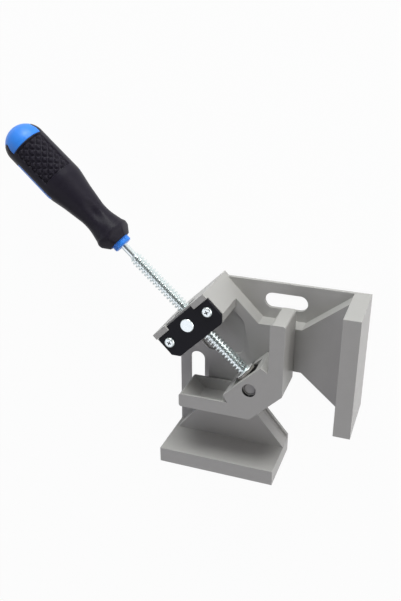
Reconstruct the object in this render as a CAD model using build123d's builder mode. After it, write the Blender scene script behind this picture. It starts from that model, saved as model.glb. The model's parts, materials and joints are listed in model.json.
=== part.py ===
from build123d import *
import math
import os

# A single-handle corner clamp, lying on its base plate.
# Origin: on the nut's swivel axis, in the plane of the base.
# +Z points up, the fixed jaws lie along X and Y, and the screw runs along the diagonal (1, -1).
# Lengths are in millimetres and angles in degrees.

# Fixed frame, in plan
nut_to_face = 114.6
jaw_length = 95.0
jaw_thickness = 12.8
edge_offset = 24.4
deck_edge = 5.5
deck_bend_x = 80.0
deck_top_inset = 2.5
deck_notch = 42.0
wing_start_x = 81.0
lip_width = 2.0

# Fixed frame, in height
frame_height = 51.0
flange_thickness = 3.0
deck_height = 16.8
recess_depth = 1.5
recess_half_width = 20.0
recess_edge = 34.4
recess_corner = 5.0

# Slots for fastening the frame
slot_length = 34.0
slot_width = 12.5
slot_centre_x = 63.5
slot_centre_y = 9.4

# Bridge that carries the swivelling nut
bridge_back = 10.7
bridge_front = 15.0
bridge_half_width = 28.5
bridge_chamfer = 5.0
nut_pocket_half_width = 12.5
bridge_wall = 2.5
window_half_width = 10.5
window_height = 17.0
lug_depth = 4.6
lug_inner = 14.5

# Cap plate and its screws
plate_thickness = 2.5
plate_below_top = 1.0
plate_gap = 0.3
plate_ear_gap = 1.4
cap_screw_along = 1.6
cap_screw_inset = 7.3
cap_screw_diameter = 4.0
cap_screw_head_diameter = 8.0
cap_screw_head_height = 2.2
cap_screw_length = 14.0
cap_screw_clearance = 0.05

# Screw and nut
screw_swing = 2.65
screw_rise = 1.0
thread_diameter = 10.0
thread_clearance = 0.05
thread_back = 65.4
nut_diameter = 15.6
nut_journal_diameter = 10.6
journal_clearance = 0.05
nut_journal_depth = 10.0
running_gap = 0.3
end_chamfer = 1.0

# Swivel end of the screw, with the moving jaw's pivot
pivot_along = 67.1
barrel_diameter = 18.0
barrel_flat = 8.6
barrel_clearance = 0.08
pivot_pin_diameter = 8.7
pivot_pin_seat = 4.7
pin_chamfer = 0.4
pin_sink = 2.2
end_journal_diameter = 7.0
washer_diameter = 16.0
washer_thickness = 1.5
clip_diameter = 14.0
clip_thickness = 1.2
clip_groove_depth = 1.0
clip_gap = 1.4
screw_end = 1.5

# Moving jaw, measured from its pivot
jaw_lift = 1.2
mouth_clearance = 3.0
arm_face = 25.5
arm_thickness = 11.2
arm_reach = 56.9
nose_along = 18.6
arm_end_radius = 2.0
hub_back = 8.8
hub_half_width = 20.3
hub_root = 16.9
mouth_half_width = 13.0
clip_pocket_half_width = 10.0
clip_pocket_reach = 13.5
pocket_wall = 1.8
pocket_depth = 8.0
pocket_draft = 3.0
pocket_end_slope = 10.0
pocket_hub_slope = 8.0
pin_counterbore_diameter = 10.8
pin_counterbore_depth = 2.6

# Handle, measured from the front face of its ring
shank_diameter = 5.6
shank_seat = 80.0
shank_fit = 0.02
ring_start = 76.3
ring_length = 4.2
ring_diameter = 14.6
handle_turn = 40.0
nose_diameter = 19.2
nose_radius = 1.2
collar_front = 9.3
collar_back = 12.8
collar_diameter = 27.6
collar_radius = 2.0
nose_flat = 17.6
nose_taper = 31.4
neck_at = 15.4
neck_diameter = 25.3
neck_radius = 6.0
waist_at = 28.5
waist_diameter = 19.5
waist_radius = 32.0
swell_at = 50.0
swell_diameter = 26.2
swell_radius = 60.0
body_at = 63.9
body_diameter = 32.1
body_bend_radius = 12.0
grip_length = 97.3
dome_start = 104.2
dome_diameter = 31.3
dome_shoulder_radius = 9.3
dome_shoulder_angle = 14.0
core_body_diameter = 25.0
core_step_at = 66.0
seam_start = 61.0
seam_length = 38.0
seam_width = 10.0
tongue_width = 17.2
tongue_depth = 2.6
tongue_length = 9.5

root2 = math.sqrt(2)
cap_screw_across = bridge_half_width - cap_screw_inset
along_dir = Vector(1, -1, 0).normalized()
across_dir = Vector(1, 1, 0).normalized()
swing_dir = along_dir.rotate(Axis.Z, screw_swing)
mirror_plane = Plane(origin=(0, 0, 0), x_dir=along_dir, z_dir=across_dir)
jaw_bottom = deck_height + jaw_lift
screw_height = (jaw_bottom + frame_height) / 2 + screw_rise
seat_height = frame_height - plate_below_top - plate_thickness
recess_floor = deck_height - recess_depth
plate_top = seat_height + plate_thickness


def diagonal(along, across):
    """A plan point given along and across the frame's diagonal."""
    point = along_dir * along + across_dir * across
    return (point.X, point.Y)


def diagonal_plane(height):
    """A level plane whose X runs along the diagonal, towards the fixed jaws."""
    return Plane(origin=(0, 0, height), x_dir=along_dir, z_dir=(0, 0, 1))


# Plan outlines of the base flange and of the raised deck, each drawn as its right half
outer_face = nut_to_face + jaw_thickness
jaw_end = jaw_length - edge_offset
wing_slope = (jaw_end - deck_notch) / (nut_to_face - wing_start_x)
lip_shift = lip_width * math.hypot(1, wing_slope) / wing_slope
lip_start_x = wing_start_x - lip_shift + lip_width / wing_slope

flange_half = [
    diagonal(-bridge_back, 0),
    diagonal(-bridge_back, bridge_half_width),
    (root2 * bridge_half_width - edge_offset, edge_offset),
    (outer_face, edge_offset),
    (outer_face, -jaw_end),
    (nut_to_face - lip_shift, -jaw_end),
    (lip_start_x, -deck_notch - lip_width),
    (deck_notch + lip_width, -deck_notch - lip_width),
]
deck_half = [
    diagonal(-bridge_back, 0),
    diagonal(-bridge_back, bridge_half_width),
    (root2 * bridge_half_width + deck_edge, -deck_edge),
    (deck_bend_x, -deck_edge),
    (nut_to_face, edge_offset - deck_top_inset),
    (outer_face, edge_offset - deck_top_inset),
    (outer_face, -jaw_end),
    (nut_to_face, -jaw_end),
    (wing_start_x, -deck_notch),
    (deck_notch, -deck_notch),
]

# Frame casting: flange, deck and the two fixed jaws
jaw_middle = edge_offset - jaw_length / 2
with BuildPart() as frame_casting:
    with BuildSketch():
        with BuildLine():
            Polyline(*flange_half)
            mirror(about=mirror_plane)
        make_face()
    extrude(amount=flange_thickness)
    with BuildSketch():
        with BuildLine():
            Polyline(*deck_half)
            mirror(about=mirror_plane)
        make_face()
    extrude(amount=deck_height)
    with BuildSketch():
        with Locations((nut_to_face + jaw_thickness / 2, jaw_middle)):
            Rectangle(jaw_thickness, jaw_length)
        with Locations((-jaw_middle, -nut_to_face - jaw_thickness / 2)):
            Rectangle(jaw_length, jaw_thickness)
    extrude(amount=frame_height)

    # Bridge posts, with their inner corners cut like the cap plate
    with BuildSketch(diagonal_plane(0)):
        with BuildLine():
            Polyline(
                (-bridge_back, -bridge_half_width),
                (bridge_front - bridge_chamfer, -bridge_half_width),
                (bridge_front, -bridge_half_width + bridge_chamfer),
                (bridge_front, bridge_half_width - bridge_chamfer),
                (bridge_front - bridge_chamfer, bridge_half_width),
                (-bridge_back, bridge_half_width),
                close=True,
            )
        make_face()
    extrude(amount=seat_height)

    # Lugs beside the plate's ear
    lug_width = bridge_half_width - lug_inner
    with BuildSketch(diagonal_plane(seat_height)):
        with Locations(
            (-bridge_back + lug_depth / 2, lug_inner + lug_width / 2),
            (-bridge_back + lug_depth / 2, -lug_inner - lug_width / 2),
        ):
            Rectangle(lug_depth, lug_width)
    extrude(amount=frame_height - seat_height)

    # Recess in the deck, which narrows to a point under the moving jaw
    recess_half = [
        diagonal(0, 0),
        diagonal(0, recess_half_width),
        (recess_edge, root2 * recess_half_width - recess_edge),
        (recess_edge, -recess_edge),
    ]
    with BuildSketch(Plane.XY.offset(deck_height)) as recess:
        with BuildLine():
            Polyline(*recess_half)
            mirror(about=mirror_plane)
        make_face()
        corners = recess.vertices().filter_by(lambda v: v.X - v.Y > bridge_front * root2)
        fillet(corners, recess_corner)
        with BuildSketch(diagonal_plane(deck_height), mode=Mode.PRIVATE) as behind:
            with Locations((bridge_front / 2, 0)):
                Rectangle(bridge_front, 4 * bridge_half_width)
        add(behind.sketch, mode=Mode.SUBTRACT)
    extrude(amount=-recess_depth, mode=Mode.SUBTRACT)

    # Pocket for the nut, open at the top and towards the jaws
    pocket_back = bridge_back - bridge_wall
    with BuildSketch(diagonal_plane(recess_floor)):
        with Locations(((bridge_front - pocket_back) / 2, 0)):
            Rectangle(bridge_front + pocket_back, 2 * nut_pocket_half_width)
    extrude(amount=frame_height, mode=Mode.SUBTRACT)

    # Window for the screw in the bridge's outer wall
    window_plane = Plane(origin=(0, 0, screw_height), x_dir=across_dir, z_dir=-along_dir)
    with BuildSketch(window_plane):
        RectangleRounded(2 * window_half_width, window_height, window_height / 2 - 1)
    extrude(amount=bridge_back, mode=Mode.SUBTRACT)

    # Bearing for the nut's lower journal, and holes for the cap screws
    with Locations(Plane.XY.offset(recess_floor)):
        Hole(nut_journal_diameter / 2 + journal_clearance, nut_journal_depth + running_gap)
    with Locations(diagonal_plane(seat_height)):
        with Locations((cap_screw_along, cap_screw_across), (cap_screw_along, -cap_screw_across)):
            Hole(cap_screw_diameter / 2 + cap_screw_clearance, cap_screw_length)

    # Fastening slots in the two wings
    with BuildSketch():
        with Locations((slot_centre_x, slot_centre_y)):
            SlotOverall(slot_length, slot_width)
        with Locations((-slot_centre_y, -slot_centre_x)):
            SlotOverall(slot_length, slot_width, rotation=90)
    extrude(amount=flange_thickness, mode=Mode.SUBTRACT)
frame_casting.part.label = "frame_casting"

# Cap plate over the nut, with an ear between the lugs
plate_half_width = bridge_half_width - 0.5
ear_half_width = lug_inner - plate_gap
plate_back = bridge_back - lug_depth - plate_gap
ear_back = bridge_back - plate_ear_gap
with BuildPart() as cap_plate:
    with BuildSketch(diagonal_plane(seat_height)) as plate_outline:
        with BuildLine():
            Polyline(
                (-ear_back, -ear_half_width),
                (-plate_back, -ear_half_width),
                (-plate_back, -plate_half_width),
                (bridge_front - bridge_chamfer, -plate_half_width),
                (bridge_front, -plate_half_width + bridge_chamfer),
                (bridge_front, plate_half_width - bridge_chamfer),
                (bridge_front - bridge_chamfer, plate_half_width),
                (-plate_back, plate_half_width),
                (-plate_back, ear_half_width),
                (-ear_back, ear_half_width),
                close=True,
            )
        make_face()
        Circle(nut_journal_diameter / 2 + journal_clearance, mode=Mode.SUBTRACT)
        with Locations((cap_screw_along, cap_screw_across), (cap_screw_along, -cap_screw_across)):
            Circle(cap_screw_diameter / 2 + cap_screw_clearance, mode=Mode.SUBTRACT)
    extrude(amount=plate_thickness)
cap_plate.part.label = "cap_plate"


def cap_screw(side):
    """A pan-head screw through the cap plate, on one side of the nut."""
    with BuildPart() as screw:
        with BuildSketch(diagonal_plane(plate_top)):
            with Locations((cap_screw_along, side * cap_screw_across)):
                Circle(cap_screw_head_diameter / 2)
        extrude(amount=cap_screw_head_height)
        chamfer(screw.faces().sort_by(Axis.Z)[-1].edges(), cap_screw_head_height / 2)
        with BuildSketch(diagonal_plane(plate_top)):
            with Locations((cap_screw_along, side * cap_screw_across)):
                Circle(cap_screw_diameter / 2)
        extrude(amount=-(cap_screw_length + plate_thickness - running_gap))
    return screw


cap_screw_right = cap_screw(1)
cap_screw_right.part.label = "cap_screw_right"
cap_screw_left = cap_screw(-1)
cap_screw_left.part.label = "cap_screw_left"

# Swivelling nut: a barrel with journals above and below and the screw's bore across it
screw_plane = Plane(origin=(0, 0, screw_height), x_dir=swing_dir, z_dir=(0, 0, 1))
screw_axis = Axis((0, 0, screw_height), swing_dir)
cross_plane = Plane(origin=(0, 0, screw_height), x_dir=(0, 0, 1), z_dir=swing_dir)


def swing_plane(height):
    """A level plane on the nut's axis whose X runs along the swung screw."""
    return Plane(origin=(0, 0, height), x_dir=swing_dir, z_dir=(0, 0, 1))


nut_bottom = recess_floor + running_gap
nut_top = seat_height - running_gap
with BuildPart() as trunnion_nut:
    with BuildSketch(swing_plane(nut_bottom)):
        Circle(nut_diameter / 2)
    extrude(amount=nut_top - nut_bottom)
    with BuildSketch(swing_plane(recess_floor - nut_journal_depth)):
        Circle(nut_journal_diameter / 2)
    extrude(amount=plate_top + running_gap * 2 - recess_floor + nut_journal_depth)
    chamfer(trunnion_nut.faces().sort_by(Axis.Z)[-1].edges(), pin_chamfer)
    with BuildSketch(cross_plane):
        Circle(thread_diameter / 2 + thread_clearance)
    extrude(amount=nut_diameter / 2, both=True, mode=Mode.SUBTRACT)
trunnion_nut.part.label = "trunnion_nut"

# Screw: shank in the handle, threaded length and the journal in the swivel barrel
barrel_back = pivot_along - barrel_flat
barrel_front = pivot_along + barrel_flat
shoulder = barrel_back - journal_clearance - washer_thickness
groove_start = barrel_front + journal_clearance
tip = groove_start + clip_thickness + screw_end
thread_radius = thread_diameter / 2
shank_radius = shank_diameter / 2
end_radius = end_journal_diameter / 2
groove_radius = end_radius - clip_groove_depth
with BuildPart() as spindle:
    with BuildSketch(screw_plane):
        with BuildLine():
            Polyline(
                (-ring_start - shank_seat, 0),
                (-ring_start - shank_seat, shank_radius),
                (-thread_back, shank_radius),
                (-thread_back, thread_radius - end_chamfer),
                (-thread_back + end_chamfer, thread_radius),
                (shoulder - end_chamfer, thread_radius),
                (shoulder, thread_radius - end_chamfer / 4),
                (shoulder, end_radius),
                (groove_start, end_radius),
                (groove_start, groove_radius),
                (groove_start + clip_thickness, groove_radius),
                (groove_start + clip_thickness, end_radius),
                (tip - end_chamfer / 2, end_radius),
                (tip, end_radius - end_chamfer / 2),
                (tip, 0),
                close=True,
            )
        make_face()
    revolve(axis=screw_axis)
spindle.part.label = "spindle"

# Thrust washer between the thread's shoulder and the swivel barrel
with BuildPart() as thrust_washer:
    with BuildSketch(Plane(origin=swing_dir * shoulder + Vector(0, 0, screw_height), z_dir=swing_dir)):
        Circle(washer_diameter / 2)
        Circle(end_radius + journal_clearance, mode=Mode.SUBTRACT)
    extrude(amount=washer_thickness)
thrust_washer.part.label = "thrust_washer"

# Retaining clip in the groove in front of the barrel, open on its lower side
with BuildPart() as retaining_clip:
    clip_plane = Plane(
        origin=swing_dir * groove_start + Vector(0, 0, screw_height), x_dir=(0, 0, 1), z_dir=swing_dir
    )
    with BuildSketch(clip_plane):
        Circle(clip_diameter / 2)
        Circle(groove_radius, mode=Mode.SUBTRACT)
        with Locations((-clip_diameter / 2, 0)):
            Rectangle(clip_diameter, 2 * groove_radius - clip_gap, mode=Mode.SUBTRACT)
    extrude(amount=clip_thickness)
retaining_clip.part.label = "retaining_clip"

# Swivel barrel: takes the screw's end and holds the pin that the moving jaw turns on
pivot_point = swing_dir * pivot_along
mouth_top = screw_height + clip_diameter / 2 + mouth_clearance


def pivot_plane(height):
    """A level plane on the moving jaw's pivot whose X runs along the screw."""
    return Plane(origin=(pivot_point.X, pivot_point.Y, height), x_dir=swing_dir, z_dir=(0, 0, 1))


with BuildPart() as swivel_barrel:
    with BuildSketch(pivot_plane(jaw_bottom + running_gap)):
        Circle(barrel_diameter / 2)
        Rectangle(2 * barrel_flat, barrel_diameter, mode=Mode.INTERSECT)
    extrude(amount=mouth_top - jaw_bottom - 2 * running_gap)
    with BuildSketch(pivot_plane(mouth_top - running_gap)):
        Circle(pivot_pin_diameter / 2)
    extrude(amount=-pivot_pin_seat, mode=Mode.SUBTRACT)
    with BuildSketch(cross_plane.offset(barrel_back)):
        Circle(end_radius + journal_clearance)
    extrude(amount=2 * barrel_flat, mode=Mode.SUBTRACT)
swivel_barrel.part.label = "swivel_barrel"

# Pivot pin, pressed into the top of the barrel, whose end shows in the jaw's top
with BuildPart() as pivot_pin:
    with BuildSketch(pivot_plane(mouth_top - running_gap - pivot_pin_seat)):
        Circle(pivot_pin_diameter / 2)
    extrude(amount=frame_height - pin_sink - mouth_top + pivot_pin_seat)
    chamfer(pivot_pin.faces().sort_by(Axis.Z)[-1].edges(), pin_chamfer)
pivot_pin.part.label = "pivot_pin"

# Moving jaw: two hollow arms at a right angle and a hub that turns on the barrel
jaw_height = frame_height - jaw_bottom


def jaw_plane(height):
    """A level plane on the pivot whose X and Y run along the moving jaw's arms."""
    return Plane(origin=(pivot_point.X, pivot_point.Y, height))


def jaw_diagonal_plane(height):
    """A level plane on the pivot whose X runs along the moving jaw's diagonal."""
    return Plane(origin=(pivot_point.X, pivot_point.Y, height), x_dir=along_dir, z_dir=(0, 0, 1))


arm_inside = arm_face - arm_thickness
moving_half = [
    diagonal(-hub_back, 0),
    diagonal(-hub_back, hub_half_width),
    (arm_inside, hub_root),
    (arm_inside, arm_reach),
    (arm_face, arm_reach),
    (arm_face, arm_face - nose_along * root2),
    diagonal(nose_along, 0),
]
pocket_middle = (jaw_bottom + frame_height) / 2
pocket_height = jaw_height - 2 * pocket_wall
pocket_end = arm_reach - pocket_wall
pocket_hub = hub_root + pocket_wall
with BuildPart() as jaw_casting:
    with BuildSketch(jaw_plane(jaw_bottom)) as jaw_outline:
        with BuildLine():
            Polyline(*moving_half)
            mirror(about=mirror_plane)
        make_face()
        fillet(jaw_outline.vertices().filter_by(lambda v: abs(abs(v.X) - arm_reach) < 0.01), arm_end_radius)
        fillet(jaw_outline.vertices().filter_by(lambda v: abs(abs(v.Y) - arm_reach) < 0.01), arm_end_radius)
    extrude(amount=jaw_height)

    # Pockets that hollow the arms from their inner side, with drafted walls
    pocket_centre = jaw_plane(pocket_middle).origin
    pocket_planes = [
        Plane(origin=pocket_centre + Vector(arm_inside, 0, 0), x_dir=(0, 1, 0), z_dir=(1, 0, 0)),
        Plane(origin=pocket_centre + Vector(0, -arm_inside, 0), x_dir=(-1, 0, 0), z_dir=(0, -1, 0)),
    ]
    floor_start = pocket_hub + pocket_hub_slope
    floor_end = pocket_end - pocket_end_slope
    for plane in pocket_planes:
        with BuildSketch(plane):
            with Locations(((pocket_hub + pocket_end) / 2, 0)):
                Rectangle(pocket_end - pocket_hub, pocket_height)
        with BuildSketch(plane.offset(pocket_depth)):
            with Locations(((floor_start + floor_end) / 2, 0)):
                Rectangle(floor_end - floor_start, pocket_height - 2 * pocket_draft)
        loft(mode=Mode.SUBTRACT)

    # Bore for the barrel and pocket for the clip, both open below
    with BuildSketch(jaw_diagonal_plane(jaw_bottom)):
        Circle(barrel_diameter / 2 + barrel_clearance)
        with Locations((clip_pocket_reach / 2, 0)):
            Rectangle(clip_pocket_reach, 2 * clip_pocket_half_width)
    extrude(amount=mouth_top - jaw_bottom, mode=Mode.SUBTRACT)

    # Mouth for the washer and the screw
    mouth_bottom = 2 * screw_height - mouth_top
    with BuildSketch(jaw_diagonal_plane(mouth_bottom)):
        with Locations((-hub_back, 0)):
            Rectangle(2 * hub_back, 2 * mouth_half_width)
    extrude(amount=mouth_top - mouth_bottom, mode=Mode.SUBTRACT)

    # Hole for the barrel's journal, opened out at the top
    with Locations(jaw_plane(frame_height)):
        CounterBoreHole(
            pivot_pin_diameter / 2 + journal_clearance,
            pin_counterbore_diameter / 2,
            pin_counterbore_depth,
            frame_height - mouth_top + running_gap,
        )
jaw_casting.part.label = "jaw_casting"

# Handle: a hard core with a dome and a front ring, in a soft grip
panel_dir = Vector(0, 0, 1).rotate(Axis((0, 0, 0), swing_dir), -handle_turn)
handle_origin = swing_dir * -ring_start + Vector(0, 0, screw_height)
handle_plane = Plane(origin=handle_origin, x_dir=-swing_dir, z_dir=panel_dir)
handle_face = Plane(origin=handle_origin, x_dir=panel_dir, z_dir=-swing_dir)
grip_end = ring_length + grip_length
body_radius = body_diameter / 2
dome_radius = dome_diameter / 2
ring_radius = ring_diameter / 2
core_radius = core_body_diameter / 2
shoulder_height = dome_radius - dome_shoulder_radius
crown_centre = dome_start - shoulder_height * math.tan(math.radians(dome_shoulder_angle))
crown_radius = dome_shoulder_radius + shoulder_height / math.cos(math.radians(dome_shoulder_angle))

taper = (body_radius - dome_radius) / (dome_start - body_at)
grip_end_radius = body_radius - taper * (grip_end - body_at)

# Grip around the core, before the seams are opened
with BuildPart() as grip_blank:
    with BuildSketch(handle_plane):
        with BuildLine():
            FilletPolyline(
                (ring_length, ring_radius),
                (ring_length, nose_diameter / 2),
                (collar_front, collar_diameter / 2),
                (collar_back, collar_diameter / 2),
                (neck_at, neck_diameter / 2),
                (waist_at, waist_diameter / 2),
                (swell_at, swell_diameter / 2),
                (body_at, body_radius),
                (grip_end, grip_end_radius),
                radius=(
                    nose_radius,
                    collar_radius,
                    collar_radius,
                    neck_radius,
                    waist_radius,
                    swell_radius,
                    body_bend_radius,
                ),
            )
            Polyline(
                (grip_end, grip_end_radius),
                (grip_end, core_radius),
                (core_step_at, core_radius),
                (core_step_at, ring_radius),
                (ring_length, ring_radius),
            )
        make_face()
    revolve(axis=screw_axis)

    # Six flats round the nose that keep the tool from rolling
    with BuildSketch(handle_face.offset(ring_length)):
        RegularPolygon(nose_flat / 2, 6, major_radius=False, rotation=30)
    extrude(amount=grip_length + ring_length, taper=-nose_taper, mode=Mode.INTERSECT)

# Core: ring, stem, body and dome
with BuildPart() as core_blank:
    with BuildSketch(handle_plane):
        with BuildLine():
            Polyline(
                (dome_start, dome_radius),
                (grip_end, grip_end_radius),
                (grip_end, core_radius),
                (core_step_at, core_radius),
                (core_step_at, ring_radius),
                (0, ring_radius),
                (0, shank_radius + shank_fit),
                (shank_seat + shank_fit, shank_radius + shank_fit),
                (shank_seat + shank_fit, 0),
                (crown_centre + crown_radius, 0),
            )
            CenterArc(
                (dome_start, shoulder_height),
                dome_shoulder_radius,
                90 - dome_shoulder_angle,
                dome_shoulder_angle,
            )
            CenterArc((crown_centre, 0), crown_radius, 0, 90 - dome_shoulder_angle)
        make_face()
    revolve(axis=screw_axis)

# Seams where the core shows at the grip's sides, and tongues of the grip that run up the dome
with BuildSketch(handle_face.offset(seam_start)) as seam_outline:
    with Locations((0, body_radius), (0, -body_radius)):
        Rectangle(seam_width, 2 * body_radius)
with BuildSketch(handle_face.offset(grip_end)) as tongue_outline:
    Rectangle(tongue_width, 2 * body_diameter)
    Circle(body_radius - tongue_depth, mode=Mode.SUBTRACT)
with BuildPart() as ribs:
    add(grip_blank.part)
    extrude(seam_outline.sketch, amount=seam_length, mode=Mode.INTERSECT)
with BuildPart() as tongues:
    add(core_blank.part)
    extrude(tongue_outline.sketch, amount=tongue_length, mode=Mode.INTERSECT)

with BuildPart() as handle_core:
    add(core_blank.part)
    add(ribs.part)
    extrude(tongue_outline.sketch, amount=tongue_length, mode=Mode.SUBTRACT)
handle_core.part.label = "handle_core"

with BuildPart() as handle_grip:
    add(grip_blank.part)
    extrude(seam_outline.sketch, amount=seam_length, mode=Mode.SUBTRACT)
    add(tongues.part)
handle_grip.part.label = "handle_grip"

os.makedirs("parts", exist_ok=True)
export_step(frame_casting.part, "parts/frame_casting.step")
export_step(cap_plate.part, "parts/cap_plate.step")
export_step(cap_screw_right.part, "parts/cap_screw_right.step")
export_step(cap_screw_left.part, "parts/cap_screw_left.step")
export_step(trunnion_nut.part, "parts/trunnion_nut.step")
export_step(spindle.part, "parts/spindle.step")
export_step(thrust_washer.part, "parts/thrust_washer.step")
export_step(retaining_clip.part, "parts/retaining_clip.step")
export_step(swivel_barrel.part, "parts/swivel_barrel.step")
export_step(pivot_pin.part, "parts/pivot_pin.step")
export_step(jaw_casting.part, "parts/jaw_casting.step")
export_step(handle_core.part, "parts/handle_core.step")
export_step(handle_grip.part, "parts/handle_grip.step")
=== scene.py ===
# A corner clamp with one screw handle, lying on its base as it does on a bench.
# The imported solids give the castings' shapes, the screw's line and the jaw's pivot. Lengths are
# millimetres in the pieces, and metres for the floor, the lights and the camera.
import json
import math

import bmesh
import bpy
from mathutils import Matrix, Vector


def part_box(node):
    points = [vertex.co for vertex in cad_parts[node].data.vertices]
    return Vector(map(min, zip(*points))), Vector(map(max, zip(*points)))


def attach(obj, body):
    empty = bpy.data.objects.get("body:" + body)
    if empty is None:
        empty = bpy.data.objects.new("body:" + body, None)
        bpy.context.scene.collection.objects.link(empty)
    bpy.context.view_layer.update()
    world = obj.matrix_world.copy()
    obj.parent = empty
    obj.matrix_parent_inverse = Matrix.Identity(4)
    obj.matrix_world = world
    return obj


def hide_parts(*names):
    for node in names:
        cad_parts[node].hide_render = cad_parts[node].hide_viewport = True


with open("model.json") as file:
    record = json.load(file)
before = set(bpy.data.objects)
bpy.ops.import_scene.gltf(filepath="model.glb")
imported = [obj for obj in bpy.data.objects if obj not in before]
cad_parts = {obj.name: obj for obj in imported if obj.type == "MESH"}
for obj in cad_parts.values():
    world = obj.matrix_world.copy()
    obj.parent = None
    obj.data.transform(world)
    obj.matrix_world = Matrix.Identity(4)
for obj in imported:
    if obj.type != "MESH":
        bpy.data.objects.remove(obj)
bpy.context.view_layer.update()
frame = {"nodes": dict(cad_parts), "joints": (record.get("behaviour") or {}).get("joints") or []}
nodes = frame["nodes"]
joints = {joint["name"]: joint for joint in frame["joints"]}
mm = 0.001
merge_gap = 0.001

# Degrees between faces: joined to one flat, rounded to an edge, and shaded as a sharp edge
join_angle = 1
round_angle = 28
sharp_angle = 35
handle_sharp_angle = 60

# The screw's line, from the nut towards the moving jaw, and the jaw's pivot on it
screw_dir = Vector(joints["screw_travel"]["axis"]).normalized()
pivot = Vector(joints["jaw_swing"]["pos_m"])
screw_origin = Vector((0, 0, pivot.z))


# Small helpers
def linear(hex_colour):
    """An sRGB hex colour as the linear colour that the shaders take."""
    coded = [int(hex_colour[i : i + 2], 16) / 255 for i in (0, 2, 4)]
    light = [share / 12.92 if share <= 0.04045 else ((share + 0.055) / 1.055) ** 2.4 for share in coded]
    return (*light, 1)


def object_from(mesh, name, sharp=sharp_angle):
    """A new object in the scene, shaded smooth up to an angle of sharp degrees."""
    mesh.shade_smooth()
    mesh.set_sharp_from_angle(angle=math.radians(sharp))
    piece = bpy.data.objects.new(name, mesh)
    bpy.context.scene.collection.objects.link(piece)
    return piece


def piece_from(bm, name, material, sharp=sharp_angle):
    """A new object from a bmesh in metres, with its faces turned outwards."""
    bmesh.ops.recalc_face_normals(bm, faces=bm.faces)
    mesh = bpy.data.meshes.new(name)
    bm.to_mesh(mesh)
    bm.free()
    mesh.materials.append(material)
    return object_from(mesh, name, sharp)


def stands_for(piece, node, body):
    """Shows a piece in a CAD node's place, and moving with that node's body."""
    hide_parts(node)
    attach(piece, body)
    return piece


def along_screw(bm, start=0.0):
    """Turns a bmesh drawn in millimetres along X to lie on the screw's axis, start mm from the nut."""
    side = Vector((0, 0, 1)).cross(screw_dir)
    turn = Matrix((screw_dir, side, Vector((0, 0, 1)))).transposed().to_4x4()
    place = Matrix.Translation(screw_origin + screw_dir * start * mm) @ turn @ Matrix.Scale(mm, 4)
    bmesh.ops.transform(bm, matrix=place, verts=bm.verts)


def spun(points, steps=64, loop=False):
    """A body turned about X, from (x, radius) points in millimetres that a loop closes to a ring."""
    bm = bmesh.new()
    outline = [bm.verts.new((x, radius, 0)) for x, radius in points]
    following = outline[1:] + (outline[:1] if loop else [])
    edges = [bm.edges.new(pair) for pair in zip(outline, following)]
    bmesh.ops.spin(
        bm, geom=outline + edges, cent=(0, 0, 0), axis=(1, 0, 0), dvec=(0, 0, 0),
        angle=math.tau, steps=steps, use_merge=True, use_duplicate=False,
    )
    bmesh.ops.remove_doubles(bm, verts=bm.verts, dist=merge_gap)
    return bm


def rounded_copy(name, width, material):
    """A copy of a CAD node with its flats joined and its sharp edges rounded by width mm."""
    bm = bmesh.new()
    bm.from_mesh(nodes[name].data)
    bmesh.ops.remove_doubles(bm, verts=bm.verts, dist=merge_gap * mm)
    bmesh.ops.dissolve_limit(
        bm, angle_limit=math.radians(join_angle), verts=bm.verts, edges=bm.edges
    )
    piece = piece_from(bm, name + "_finish", material)
    edges = piece.modifiers.new("rounded edges", "BEVEL")
    edges.width = width * mm
    edges.segments = 2
    edges.limit_method = "ANGLE"
    edges.angle_limit = math.radians(round_angle)
    edges.harden_normals = True
    return piece


# Materials
# A Mix node has sockets for each kind of data: these are its two colours and its colour result
first_colour = 6
second_colour = 7
mixed_colour = 2


def add_node(owner, kind, settings=None, values=None, links=None):
    """Adds a shader node: settings by name, values and links by the name or the number of the input."""
    node = owner.node_tree.nodes.new(kind)
    for name, setting in (settings or {}).items():
        setattr(node, name, setting)
    for entry, value in (values or {}).items():
        node.inputs[entry].default_value = value
    for entry, source in (links or {}).items():
        owner.node_tree.links.new(source, node.inputs[entry])
    return node


def link(owner, source, target):
    owner.node_tree.links.new(source, target)


def new_material(name, colour, roughness, metallic=0.0, **extra):
    """A material and its surface shader, with its middle colour and what is the same all over."""
    material = bpy.data.materials.new(name)
    material.use_nodes = True
    surface = material.node_tree.nodes["Principled BSDF"]
    surface.inputs["Base Color"].default_value = linear(colour)
    surface.inputs["Roughness"].default_value = roughness
    surface.inputs["Metallic"].default_value = metallic
    for key, value in extra.items():
        surface.inputs[key.replace("_", " ")].default_value = value
    return material, surface


def mottled(material, surface, low, high, size):
    """Varies the colour between two hex values in soft patches of about size mm."""
    place = add_node(material, "ShaderNodeTexCoord").outputs["Object"]
    patches = add_node(
        material, "ShaderNodeTexNoise", links={"Vector": place},
        values={"Scale": 1 / (size * mm), "Detail": 3.0, "Roughness": 0.6},
    )
    blend = add_node(
        material, "ShaderNodeMix", {"data_type": "RGBA"}, links={0: patches.outputs["Fac"]},
        values={first_colour: linear(low), second_colour: linear(high)},
    )
    link(material, blend.outputs[mixed_colour], surface.inputs["Base Color"])


def grainy(material, surface, size, height):
    """Raises a fine grain of size mm and height mm on the surface."""
    place = add_node(material, "ShaderNodeTexCoord").outputs["Object"]
    grain = add_node(
        material, "ShaderNodeTexNoise", links={"Vector": place},
        values={"Scale": 1 / (size * mm), "Detail": 2.0},
    )
    bump = add_node(
        material, "ShaderNodeBump", links={"Height": grain.outputs["Fac"]},
        values={"Distance": height * mm, "Strength": 1.0},
    )
    link(material, bump.outputs["Normal"], surface.inputs["Normal"])


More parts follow.
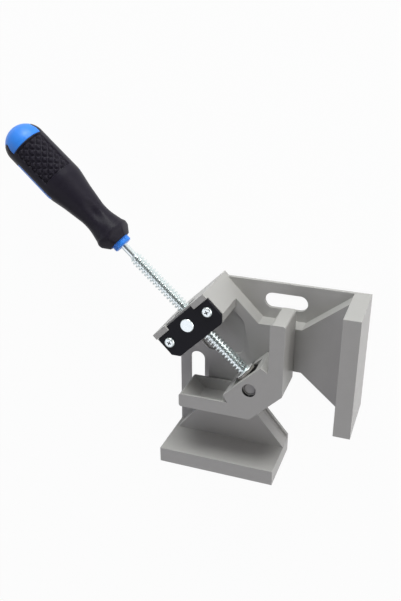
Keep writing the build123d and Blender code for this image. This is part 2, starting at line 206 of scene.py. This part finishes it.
def powder_coat():
    """Powder-coated die-cast aluminium: warm grey, satin, with a fine orange peel."""
    material, surface = new_material("powder_coat", "B4B2B0", 0.42, Specular_IOR_Level=0.5)
    mottled(material, surface, "B0AEAC", "B8B6B4", 14.0)
    grainy(material, surface, 0.9, 0.012)
    return material


def black_enamel():
    """Baked enamel on sheet steel: nearly black, satin and a little uneven."""
    material, surface = new_material("black_enamel", "16161D", 0.4, Specular_IOR_Level=0.13)
    mottled(material, surface, "131319", "1A1A21", 5.0)
    grainy(material, surface, 0.5, 0.01)
    return material


def zinc_plate():
    """Bright zinc plate on steel: pale, faintly blue, glossy, and cloudy in small spots."""
    material, surface = new_material("zinc_plate", "E8F0F0", 0.19, metallic=0.82)
    mottled(material, surface, "DCE6E7", "F2F9F9", 1.6)
    grainy(material, surface, 0.7, 0.02)
    return material


def nickel_plate():
    """Nickel plate on polished steel: bright and white, with a soft shine."""
    material, surface = new_material("nickel_plate", "F4F5F5", 0.24, metallic=0.6)
    mottled(material, surface, "F0F1F1", "F8F9F9", 2.0)
    grainy(material, surface, 1.5, 0.004)
    return material


def sintered_steel():
    """Sintered steel, browned a little by grease: a dull, warm grey metal."""
    material, surface = new_material("sintered_steel", "BCB7B2", 0.42, metallic=0.6)
    mottled(material, surface, "B1ABA5", "C7C3BE", 1.2)
    return material


def black_oxide_and_painted_shade():
    """Black-oxide steel, almost black with a dull metal sheen, and also used as painted shade in the
    pin's bore and the screws' cross recesses.
    """
    material, surface = new_material("black_oxide_and_painted_shade", "141416", 0.35, metallic=0.4)
    mottled(material, surface, "121214", "17171A", 3.0)
    grainy(material, surface, 0.6, 0.01)
    return material


def blue_polypropylene():
    """Moulded polypropylene: clear blue, smooth, semi-gloss."""
    material, surface = new_material("blue_polypropylene", "348AF4", 0.42, IOR=1.49)
    mottled(material, surface, "2F84F0", "3990F8", 9.0)
    grainy(material, surface, 0.8, 0.006)
    return material


def black_rubber():
    """Moulded thermoplastic rubber: black with a violet cast, matte, with a fine grain."""
    material, surface = new_material("black_rubber", "25222B", 0.42, Specular_IOR_Level=0.12)
    mottled(material, surface, "211E27", "292630", 4.0)
    grainy(material, surface, 0.35, 0.03)
    return material


paint = powder_coat()
enamel = black_enamel()
zinc = zinc_plate()
nickel = nickel_plate()
sintered = sintered_steel()
oxide_and_painted_shade = black_oxide_and_painted_shade()
blue = blue_polypropylene()
rubber = black_rubber()

# Castings, plate, nut and pin: the CAD shapes with rounded edges
# Radius and margin in mm of the bore over the pivot pin, whose wall is painted near black as painted
# shade
bore_radius = 5.4
bore_margin = 0.2


def dressed(node, body, material, width):
    """A CAD node's shape in its material, with edges rounded by width mm."""
    return stands_for(rounded_copy(node, width, material), node, body)


def painted_bore_shade(piece):
    """Paints the wall of the bore over the pivot pin near black with the oxide material: painted shade
    for the deep gap round the pin.
    """
    piece.data.materials.append(oxide_and_painted_shade)
    for face in piece.data.polygons:
        away = (face.center - pivot).xy.length
        upright = abs(face.normal.z) < 0.5
        if upright and face.center.z > pivot.z and away < (bore_radius + bore_margin) * mm:
            face.material_index = 1


dressed("frame_casting", "frame", paint, 0.45)
jaw = dressed("jaw_casting", "jaw", paint, 0.4)
painted_bore_shade(jaw)
dressed("cap_plate", "frame", enamel, 0.35)
dressed("trunnion_nut", "nut", zinc, 0.2)
dressed("pivot_pin", "swivel", paint, 0.2)

# The barrel and its clip sit deep in the hub and keep their CAD shape
for name, material in (("swivel_barrel", oxide_and_painted_shade), ("retaining_clip", nickel)):
    nodes[name].data.materials.clear()
    nodes[name].data.materials.append(material)

# Screw: a trapezoidal thread between a thin shank and a journal, placed along the screw from the nut
thread_pitch = 3.0
thread_crest = 5.0
thread_root = 3.3
crest_width = 1.05
flank_width = 0.5
thread_from = -65.4
thread_to = 56.95
thread_turn_steps = 32
thread_end_slope = 0.6
shank_end = -150.0
shank_radius = 2.8
shank_edge = 0.3
journal_end = 78.5
journal_radius = 3.5
journal_edge = 0.5
rod_lap = 1.0


def threaded_rod():
    """One turn's outline, screwed along X with a spare turn at each end, cut, closed and tapered."""
    length = thread_to - thread_from
    start = thread_pitch
    end = start + length
    turns = math.ceil(length / thread_pitch) + 2
    outline = [
        (0, thread_crest),
        (crest_width, thread_crest),
        (crest_width + flank_width, thread_root),
        (thread_pitch - flank_width, thread_root),
        (thread_pitch, thread_crest),
    ]
    bm = bmesh.new()
    turn_verts = [bm.verts.new((x, radius, 0)) for x, radius in outline]
    turn_edges = [bm.edges.new(pair) for pair in zip(turn_verts, turn_verts[1:])]
    bmesh.ops.spin(
        bm, geom=turn_verts + turn_edges, cent=(0, 0, 0), axis=(1, 0, 0),
        dvec=(thread_pitch / thread_turn_steps, 0, 0), angle=turns * math.tau,
        steps=turns * thread_turn_steps, use_duplicate=False,
    )
    bmesh.ops.remove_doubles(bm, verts=bm.verts, dist=merge_gap)
    for cut, side in ((start, -1), (end, 1)):
        bmesh.ops.bisect_plane(
            bm, geom=bm.verts[:] + bm.edges[:] + bm.faces[:], plane_co=(cut, 0, 0),
            plane_no=(side, 0, 0), clear_outer=True,
        )
    bmesh.ops.holes_fill(bm, edges=[edge for edge in bm.edges if edge.is_boundary], sides=0)
    for vert in bm.verts:
        inside = min(vert.co.x - start, end - vert.co.x)
        limit = min(thread_root + thread_end_slope * inside, thread_crest)
        radius = math.hypot(vert.co.y, vert.co.z)
        if radius > limit:
            vert.co.y *= limit / radius
            vert.co.z *= limit / radius
    along_screw(bm, thread_from - start)
    return bm


def rod(start, end, radius, edge):
    """A plain round rod along the screw, with a chamfer at each end."""
    length = end - start
    bm = spun([
        (0, 0), (0, radius - edge), (edge, radius), (length - edge, radius), (length, radius - edge),
        (length, 0),
    ], steps=48)
    along_screw(bm, start)
    return bm


screw_parts = (
    ("spindle_thread", threaded_rod()),
    ("spindle_shank", rod(shank_end, thread_from + rod_lap, shank_radius, shank_edge)),
    ("spindle_journal", rod(thread_to - rod_lap, journal_end, journal_radius, journal_edge)),
)
for name, bm in screw_parts:
    stands_for(piece_from(bm, name, zinc), "spindle", "screw")

# Thrust washer: a bright disc with a round rim, a groove, and a duller disc up to the barrel.
# Its places along the screw start at the thread's end
washer_hole = 3.55
groove_radius = 6.6
front_from = -1.3
front_to = -0.38
front_radius = 8.0
front_rim = 0.7
front_rim_steps = 6
back_from = -0.1
back_to = 1.5
back_radius = 7.85
back_edge = 0.1

front_middle = (front_from + front_to) / 2
front_outline = [(front_from, washer_hole)]
for step in range(front_rim_steps + 1):
    angle = math.pi * (1 - step / front_rim_steps)
    front_outline.append((
        front_middle + (front_to - front_middle) * math.cos(angle),
        front_radius - front_rim + front_rim * math.sin(angle),
    ))
front_outline += [(front_to, groove_radius), (front_to, washer_hole)]
back_outline = [
    (front_to, washer_hole), (front_to, groove_radius), (back_from, groove_radius),
    (back_from, back_radius - back_edge), (back_from + back_edge, back_radius), (back_to, back_radius),
    (back_to, washer_hole),
]
washer_discs = (("washer_front", nickel, front_outline), ("washer_back", sintered, back_outline))
for name, material, outline in washer_discs:
    disc = spun(outline, steps=96, loop=True)
    along_screw(disc, thread_to)
    stands_for(piece_from(disc, name, material), "thrust_washer", "screw")

# Cap screws: pan heads with a cross recess, whose floor is given in shares of its mouth
head_radius = 4.0
head_height = 2.2
head_wall = 0.7
head_edge_height = 0.15
head_edge_inset = 0.1
head_dome_foot = 0.9
head_dome_inset = 1.6
head_dome_steps = 6
recess_reach = 2.1
recess_width = 0.45
recess_depth = 1.2
recess_floor_reach = 0.45
recess_floor_width = 0.7
cutter_above = 0.5


def pan_head():
    """A low domed head, drawn upwards from its seat."""
    outline = [
        (0, 0), (0, head_radius - head_edge_inset), (head_edge_height, head_radius),
        (head_wall, head_radius),
    ]
    for step in range(1, head_dome_steps + 1):
        angle = math.pi / 2 * step / head_dome_steps
        height = head_dome_foot + (head_height - head_dome_foot) * math.sin(angle)
        radius = head_radius - head_dome_inset * (1 - math.cos(angle))
        outline.append((height, radius))
    outline.append((head_height, 0))
    bm = spun(outline, steps=48)
    bmesh.ops.rotate(bm, verts=bm.verts, cent=(0, 0, 0), matrix=Matrix.Rotation(-math.pi / 2, 3, "Y"))
    return bm


def cross_cutter():
    """Two crossed blades that narrow towards the bottom of the recess."""
    bm = bmesh.new()
    for turn in (0, math.pi / 2):
        blade = bmesh.ops.create_cube(bm, size=1)["verts"]
        for vert in blade:
            low = vert.co.z < 0
            vert.co.x *= 2 * recess_reach * (recess_floor_reach if low else 1)
            vert.co.y *= 2 * recess_width * (recess_floor_width if low else 1)
            vert.co.z = head_height + (-recess_depth if low else cutter_above)
        bmesh.ops.rotate(bm, verts=blade, cent=(0, 0, 0), matrix=Matrix.Rotation(turn, 3, "Z"))
    return bm


def cap_screw(node, turn):
    """A head with its recess cut and painted near black as painted shade, at the place of the CAD screw
    and turned by turn degrees.
    """
    low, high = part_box(node)
    seat = Vector(((low[0] + high[0]) / 2, (low[1] + high[1]) / 2, high[2] - head_height * mm))
    head = piece_from(pan_head(), node + "_head", zinc)
    # The recess walls take the cutter's near black oxide material: painted shade in the cross recess
    cutter = piece_from(cross_cutter(), node + "_recess", oxide_and_painted_shade)
    cut = head.modifiers.new("recess", "BOOLEAN")
    cut.object = cutter
    cut.solver = "EXACT"
    cut.use_self = True
    cut.material_mode = "TRANSFER"
    bpy.context.view_layer.update()
    shape = bpy.data.meshes.new_from_object(head.evaluated_get(bpy.context.evaluated_depsgraph_get()))
    bpy.data.objects.remove(head)
    bpy.data.objects.remove(cutter)
    turned = Matrix.Rotation(math.radians(turn), 4, "Z")
    shape.transform(Matrix.Translation(seat) @ turned @ Matrix.Scale(mm, 4))
    stands_for(object_from(shape, node + "_finish"), node, "frame")


cap_screw("cap_screw_right", 20)
cap_screw("cap_screw_left", -15)

# Handle: d runs outwards from the blue ring's front face, angles from the middle of the upper panel.
# A grip corner is its d, its radius and the radius of its bend
handle_front = -76.3
handle_turn = math.radians(40)
ring_length = 4.2
ring_radius = 7.3
ring_edge = 0.6
ring_sunk = 0.5
front_face = ring_length + 0.01
grip_corners = [
    (ring_length, 9.6, 0.0), (9.3, 13.8, 2.0), (12.8, 13.8, 2.0), (15.4, 12.65, 6.0), (28.5, 9.75, 32.0),
    (50.0, 13.1, 60.0), (63.9, 16.05, 12.0),
]
dome_start = 104.2
dome_radius = 15.65
shoulder_radius = 9.3
shoulder_turn = math.radians(14)

# Rows of the handle's mesh: round it, along it, and coarser along the waist
rows_round = 256
row_fine = 0.45
row_coarse = 0.9
coarse_from = 17.0
coarse_to = 60.0
bend_steps = 6
shoulder_steps = 6
dome_steps = 44

# The nose's flats rise from the axis with d, and flat_round softens where they meet the round body
flat_count = 6
flat_at_front = 8.8
flat_rise = 0.61
flat_round = 1.8

# Where the blue shows: side seams, and the dome but for the grip's tongues at its sides.
# A step is how far inside the blue, from and to, the surface changes its level
grip_end = 101.5
tongue_reach = 10.0
tongue_half = 8.6
tongue_corner = 4.0
seam_middle = 78.5
seam_half_length = 17.5
seam_half_width = 4.0
seam_corner = 2.5
grip_step = (-0.25, 0.35)
grip_sunk = 1.0
core_step = (-0.5, 0.2)
core_below = 0.1
core_sunk = 2.0

# Panels with bumps, and the thumb dents. A step is how far outside the panel its level changes,
# and the bump's own step is in shares of the pitch
panel_middle = 84.9
panel_half_length = 15.4
panel_half_width = 13.1
panel_corner = 0.8
panel_depth = 1.25
panel_step = (-0.3, 0.3)
bump_pitch = 6.36
bump_height = 1.5
bump_step = (0.46, 0.17)
bump_border = (-0.5, -1.3)
dent_middle = 31.0
dent_half_length = 13.0
dent_half_width = 6.4
dent_depth = 1.6


def eased(low, high, value):
    """0 at low, 1 at high and a smooth step between them."""
    share = min(1, max(0, (value - low) / (high - low)))
    return share * share * (3 - 2 * share)


def outside_box(x, y, half_x, half_y, corner):
    """How far a point lies outside a rectangle with round corners, less than 0 inside it."""
    over_x = abs(x) - half_x + corner
    over_y = abs(y) - half_y + corner
    return math.hypot(max(over_x, 0), max(over_y, 0)) + min(max(over_x, over_y), 0) - corner


def handle_outline():
    """The handle's outline over the X axis: a flat front, rounded corners and the dome's two arcs."""
    bm = bmesh.new()
    front = bm.verts.new((ring_length, 0, 0))
    corners = [bm.verts.new((d, 0, radius)) for d, radius, bend in grip_corners]
    end = bm.verts.new((dome_start, 0, dome_radius))
    chain = [front] + corners + [end]
    for pair in zip(chain, chain[1:]):
        bm.edges.new(pair)
    for corner, (d, radius, bend) in zip(corners, grip_corners):
        if bend:
            before, after = [edge.other_vert(corner).co - corner.co for edge in corner.link_edges]
            bmesh.ops.bevel(
                bm, geom=[corner], offset=bend * math.tan((math.pi - before.angle(after)) / 2),
                offset_type="OFFSET", affect="VERTICES", segments=bend_steps, profile=0.5, material=-1,
            )
    rise = dome_radius - shoulder_radius
    dome_middle = dome_start - rise * math.tan(shoulder_turn)
    arcs = (
        ((dome_start, 0, rise), shoulder_turn, shoulder_steps),
        ((dome_middle, 0, 0), math.pi / 2 - shoulder_turn, dome_steps),
    )
    for centre, turn, steps in arcs:
        arc = bmesh.ops.spin(
            bm, geom=[end], cent=centre, axis=(0, 1, 0), dvec=(0, 0, 0), angle=turn, steps=steps,
            use_duplicate=False,
        )
        end = arc["geom_last"][0]
    return bm


def handle_blank():
    """The plain handle: its outline cut into fine rows, spun about X and pressed flat at the nose."""
    bm = handle_outline()
    for edge in bm.edges[:]:
        length = edge.calc_length()
        middle = (edge.verts[0].co.x + edge.verts[1].co.x) / 2
        row = row_coarse if coarse_from < middle < coarse_to else row_fine
        if length > 1.5 * row and middle > front_face:
            bmesh.ops.subdivide_edges(bm, edges=[edge], cuts=math.ceil(length / row) - 1)
    bmesh.ops.spin(
        bm, geom=bm.verts[:] + bm.edges[:], cent=(0, 0, 0), axis=(1, 0, 0), dvec=(0, 0, 0),
        angle=math.tau, steps=rows_round, use_merge=True, use_duplicate=False,
    )
    bmesh.ops.remove_doubles(bm, verts=bm.verts, dist=merge_gap)
    flat_angle = math.tau / flat_count
    for vert in bm.verts:
        radius = math.hypot(vert.co.y, vert.co.z)
        angle = math.atan2(vert.co.y, vert.co.z)
        from_flat = (angle + flat_angle / 2) % flat_angle - flat_angle / 2
        flat = (flat_at_front + flat_rise * (vert.co.x - ring_length)) / math.cos(from_flat)
        if radius > flat - flat_round:
            blend = max(flat_round - abs(radius - flat), 0) ** 2 / (4 * flat_round)
            scale = (min(radius, flat) - blend) / radius
            vert.co.y *= scale
            vert.co.z *= scale
    bmesh.ops.recalc_face_normals(bm, faces=bm.faces)
    bm.normal_update()
    return bm


def surface_place(co):
    """A point's d, and its arcs round the handle from the nearest panel's middle and the nearest seam."""
    radius = math.hypot(co.y, co.z)
    angle = math.atan2(co.y, abs(co.z))
    return co.x, angle * radius, (math.pi / 2 - abs(angle)) * radius


def in_blue(co):
    """How far inside the blue a point lies, less than 0 under the grip."""
    d, _, from_seam = surface_place(co)
    seam = outside_box(d - seam_middle, from_seam, seam_half_length, seam_half_width, seam_corner)
    tongue = outside_box(d - grip_end, co.z, tongue_reach, tongue_half, tongue_corner)
    return max(-seam, min(d - grip_end, tongue))


def grip_relief(co):
    """Height of the grip's surface over the plain handle."""
    d, from_panel, _ = surface_place(co)
    edge = outside_box(
        d - panel_middle, from_panel, panel_half_length, panel_half_width, panel_corner
    )
    sunk = 1 - eased(*panel_step, edge)
    rising = (d + from_panel) / bump_pitch
    falling = (d - from_panel) / bump_pitch
    from_top = max(abs(rising - round(rising)), abs(falling - round(falling)))
    bump = eased(*bump_step, from_top)
    height = sunk * (bump_height * bump * eased(*bump_border, edge) - panel_depth)
    reach = math.hypot((d - dent_middle) / dent_half_length, from_panel / dent_half_width)
    height -= dent_depth * (1 - eased(0, 1, reach))
    return height - grip_sunk * eased(*grip_step, in_blue(co))


def core_relief(co):
    """Height of the blue core's surface: just below the plain handle, and deeper under the grip."""
    return -core_below - core_sunk * (1 - eased(*core_step, in_blue(co)))


def along_handle(bm):
    """Places a bmesh drawn along X in millimetres: X outwards, Z towards the upper panel."""
    face = Matrix.Rotation(-handle_turn, 3, screw_dir) @ Vector((0, 0, 1))
    turn = Matrix((-screw_dir, face.cross(-screw_dir), face)).transposed().to_4x4()
    place = Matrix.Translation(screw_origin + screw_dir * handle_front * mm)
    bmesh.ops.transform(bm, matrix=place @ turn @ Matrix.Scale(mm, 4), verts=bm.verts)


def handle_piece(name, relief, material):
    """The plain handle raised and lowered along its surface, placed on the screw."""
    bm = handle_blank()
    moves = [(vert, vert.normal * relief(vert.co)) for vert in bm.verts if vert.co.x > front_face]
    for vert, move in moves:
        vert.co += move
    along_handle(bm)
    return piece_from(bm, name, material, sharp=handle_sharp_angle)


ring_blank = spun([
    (0, 0), (0, ring_radius - ring_edge), (ring_edge, ring_radius),
    (ring_length + ring_sunk, ring_radius), (ring_length + ring_sunk, 0),
])
along_handle(ring_blank)
handle_pieces = (
    (handle_piece("handle_grip_finish", grip_relief, rubber), "handle_grip", "black_rubber"),
    (handle_piece("handle_core_finish", core_relief, blue), "handle_core", "blue_plastic"),
    (piece_from(ring_blank, "handle_ring", blue), "handle_core", "blue_plastic"),
)
for piece, node, slot in handle_pieces:
    stands_for(piece, node, "screw")


# Stage: pale floor, soft lights and the camera of the photograph
def ray_kinds(owner):
    """1 for the camera's rays, and 1 for those and for rays that gloss, metal or glass throws on."""
    ray = add_node(owner, "ShaderNodeLightPath").outputs
    thrown = add_node(
        owner, "ShaderNodeMath", {"operation": "MAXIMUM"},
        links={0: ray["Is Glossy Ray"], 1: ray["Is Transmission Ray"]},
    )
    seen = add_node(
        owner, "ShaderNodeMath", {"operation": "MAXIMUM"},
        links={0: ray["Is Camera Ray"], 1: thrown.outputs[0]},
    )
    return ray["Is Camera Ray"], seen.outputs[0]


# White floor: mostly glow where it is seen, and the rest is paper that takes the shadow
floor_half = 6
floor_below = 0.0002
floor_glow_share = 0.955

floor_bm = bmesh.new()
bmesh.ops.create_grid(floor_bm, x_segments=1, y_segments=1, size=floor_half)
bmesh.ops.translate(floor_bm, verts=floor_bm.verts, vec=(0, 0, -floor_below))
floor_paper, floor_surface = new_material("white_paper_floor", "EFEFEF", 0.9)
by_camera, by_seen = ray_kinds(floor_paper)
glow_share = add_node(
    floor_paper, "ShaderNodeMath", {"operation": "MULTIPLY"}, values={1: floor_glow_share},
    links={0: by_seen},
)
floor_glow = add_node(floor_paper, "ShaderNodeEmission", values={"Strength": 1.0})
floor_look = add_node(
    floor_paper, "ShaderNodeMixShader",
    links={0: glow_share.outputs[0], 1: floor_surface.outputs[0], 2: floor_glow.outputs[0]},
)
link(floor_paper, floor_look.outputs[0], floor_paper.node_tree.nodes["Material Output"].inputs["Surface"])
floor = piece_from(floor_bm, "floor", floor_paper)

# Studio: white walls all round, with a dark opening overhead and greyer walls to the front left.
# Each of the two has its direction, the cosines between which it fades in, and the walls' strength
# outside it and inside it. Gloss mirrors the walls, matt surfaces get the faint ambient light
ambient_colour = (0.92, 0.95, 1.0, 1)
ambient_strength = 0.07
dark_opening = ((0.30, 0.42, 0.86), 0.76, 0.94, 1.0, 0.08)
grey_side = ((-0.62, -0.68, 0.39), -0.1, 0.5, 1.0, 0.6)

world = bpy.data.worlds.new("studio")
world.use_nodes = True
ambient = world.node_tree.nodes["Background"]
ambient.inputs["Color"].default_value = ambient_colour
ambient.inputs["Strength"].default_value = ambient_strength
way = add_node(world, "ShaderNodeTexCoord").outputs["Generated"]
fades = []
for aim, near, far, outside, inside in (dark_opening, grey_side):
    facing = add_node(
        world, "ShaderNodeVectorMath", {"operation": "DOT_PRODUCT"}, values={1: aim}, links={0: way}
    )
    fade = add_node(
        world, "ShaderNodeMapRange", {"interpolation_type": "SMOOTHSTEP"},
        values={"From Min": near, "From Max": far, "To Min": outside, "To Max": inside},
        links={"Value": facing.outputs["Value"]},
    )
    fades.append(fade.outputs[0])
wall_light = add_node(
    world, "ShaderNodeMath", {"operation": "MULTIPLY"}, links={0: fades[0], 1: fades[1]}
)
walls = add_node(world, "ShaderNodeBackground", links={"Strength": wall_light.outputs[0]})
backdrop = add_node(world, "ShaderNodeBackground", values={"Strength": 1.0, "Color": (1, 1, 1, 1)})
by_camera, by_seen = ray_kinds(world)
lit = add_node(
    world, "ShaderNodeMixShader", links={0: by_seen, 1: ambient.outputs[0], 2: walls.outputs[0]}
)
shown = add_node(
    world, "ShaderNodeMixShader", links={0: by_camera, 1: lit.outputs[0], 2: backdrop.outputs[0]}
)
link(world, shown.outputs[0], world.node_tree.nodes["World Output"].inputs["Surface"])
bpy.context.scene.world = world

# Lamps: square soft lights at one distance from the clamp's middle. The strong low one behind lights
# the faces turned to +Y, and the wide one over the front gives the plated tops their sheen
lamp_target = Vector((0.03, -0.02, 0.02))
lamp_distance = 1.3


def softbox(name, azimuth, elevation, power, side, colour):
    """A light of power watts and side metres, at an azimuth from +X and an elevation in degrees."""
    turn = math.radians(azimuth)
    rise = math.radians(elevation)
    towards = Vector((math.cos(turn) * math.cos(rise), math.sin(turn) * math.cos(rise), math.sin(rise)))
    data = bpy.data.lights.new(name, "AREA")
    data.shape = "SQUARE"
    data.size = side
    data.energy = power
    data.color = linear(colour)[:3]
    lamp = bpy.data.objects.new(name, data)
    lamp.location = lamp_target + towards * lamp_distance
    lamp.rotation_euler = (-towards).to_track_quat("-Z", "Y").to_euler()
    bpy.context.scene.collection.objects.link(lamp)


softbox("right_low", 0, 10, 3.4, 0.7, "F0F1FF")
softbox("right_high", 0, 32, 3.0, 0.7, "FFFEF2")
softbox("back_right", 30, 10, 3.6, 0.7, "FFFEFB")
softbox("back", 90, 7, 18.0, 0.8, "FBFFFC")
softbox("left", 180, 32, 1.7, 0.7, "EEF3FF")
softbox("front_top", 240, 58, 3.5, 1.2, "F7F5FF")

# The camera looks down at the clamp from the right, as the photograph does, and px are its pixels
camera_place = Vector((0.17446, 0.22628, 0.48411))
camera_target = Vector((0.01470, 0.00107, 0.020))
camera_roll = math.radians(0.578)
photo_width = 401
photo_height = 601
focal_px = 698.55
centre_px = (218.89, 311.51)
sensor_width = 36.0


def photo_camera():
    """The camera whose view lays the clamp's edges over the photograph's."""
    look = (camera_target - camera_place).normalized()
    right = look.cross(Vector((0, 1, 0))).normalized()
    up = right.cross(look)
    turned_right = right * math.cos(camera_roll) + up * math.sin(camera_roll)
    turned_up = up * math.cos(camera_roll) - right * math.sin(camera_roll)
    data = bpy.data.cameras.new("photo_camera")
    data.sensor_fit = "HORIZONTAL"
    data.sensor_width = sensor_width
    data.lens = focal_px / photo_width * sensor_width
    data.shift_x = (photo_width / 2 - centre_px[0]) / photo_width
    data.shift_y = (centre_px[1] - photo_height / 2) / photo_width
    data.clip_start = 0.01
    camera = bpy.data.objects.new("photo_camera", data)
    turn = Matrix((turned_right, turned_up, -look)).transposed().to_4x4()
    camera.matrix_world = Matrix.Translation(camera_place) @ turn
    bpy.context.scene.collection.objects.link(camera)
    bpy.context.scene.camera = camera


photo_camera()
bpy.context.scene.view_settings.view_transform = "Standard"
